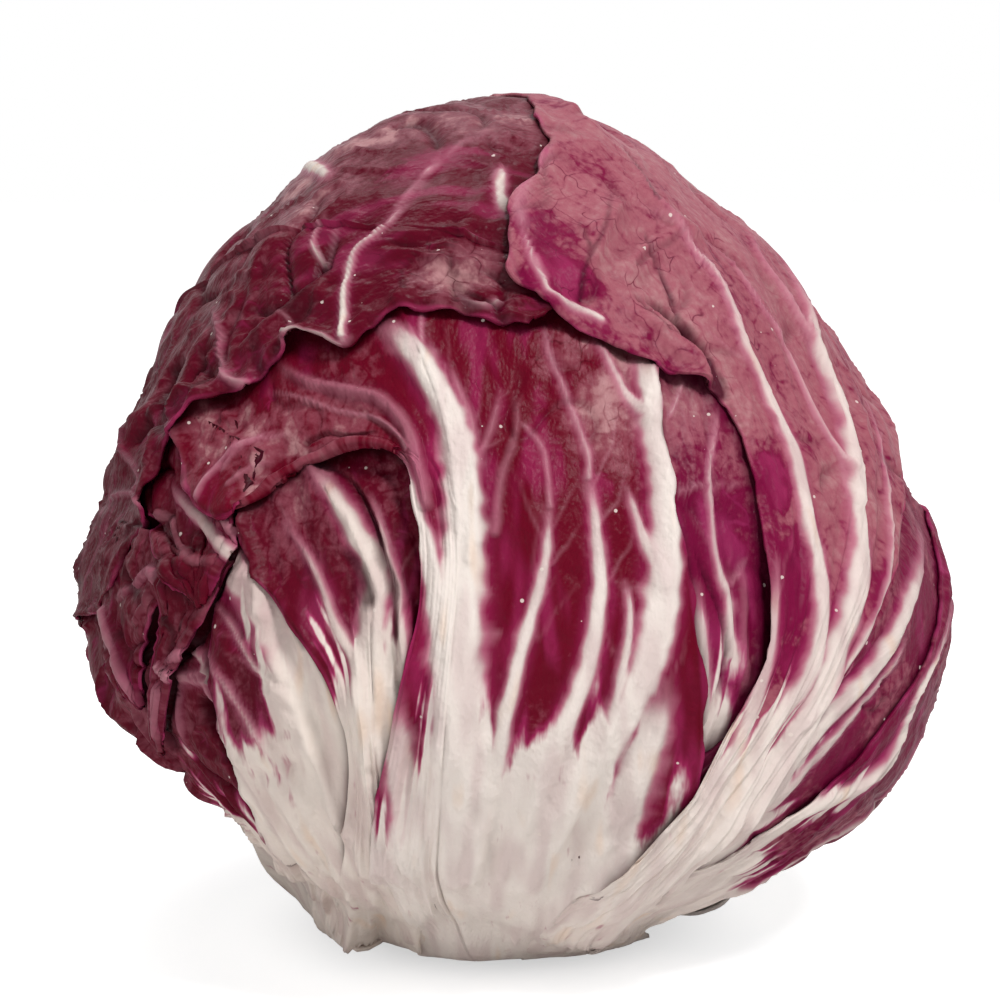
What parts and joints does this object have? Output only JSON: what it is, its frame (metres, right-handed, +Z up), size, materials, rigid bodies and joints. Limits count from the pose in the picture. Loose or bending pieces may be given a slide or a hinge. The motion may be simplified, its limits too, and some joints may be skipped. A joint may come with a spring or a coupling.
{
  "type": "radicchio head",
  "caption": "Round head of red radicchio: wine-red leaves with white ribs wrapped over a tight heart, growing from a short flat-cut stem that the head stands on.",
  "frame": {"origin": "middle of the flat cut face of the stem, which the head stands on", "axes": "+Z up from the cut face through the head; the front of the head, with its widest leaf and the white ribs, faces -Y; +X is to the right seen from the front"},
  "size_m": [0.1198, 0.119, 0.1146],
  "materials": {
    "stem": "cream-white cut flesh, matte, browning a little at the rim",
    "heart": "packed inner leaves, matte",
    "leaf": "satin wine-red blade with cream-white ribs and base"
  },
  "bodies": {
    "root": {"stem": "stem", "heart": "heart", "heart_leaf_front": "leaf", "heart_leaf_right": "leaf", "heart_leaf_back": "leaf", "heart_leaf_left": "leaf", "back_leaf_middle": "leaf", "back_leaf_left": "leaf", "back_leaf_right": "leaf", "left_leaf_rear": "leaf", "tucked_leaf": "leaf", "left_leaf_low": "leaf", "left_leaf_middle": "leaf", "left_leaf_upper": "leaf", "right_leaf_upper": "leaf", "right_leaf_low": "leaf", "front_leaf": "leaf", "crown_leaf": "leaf", "right_wrapper_leaf": "leaf"}
  },
  "joints": []
}
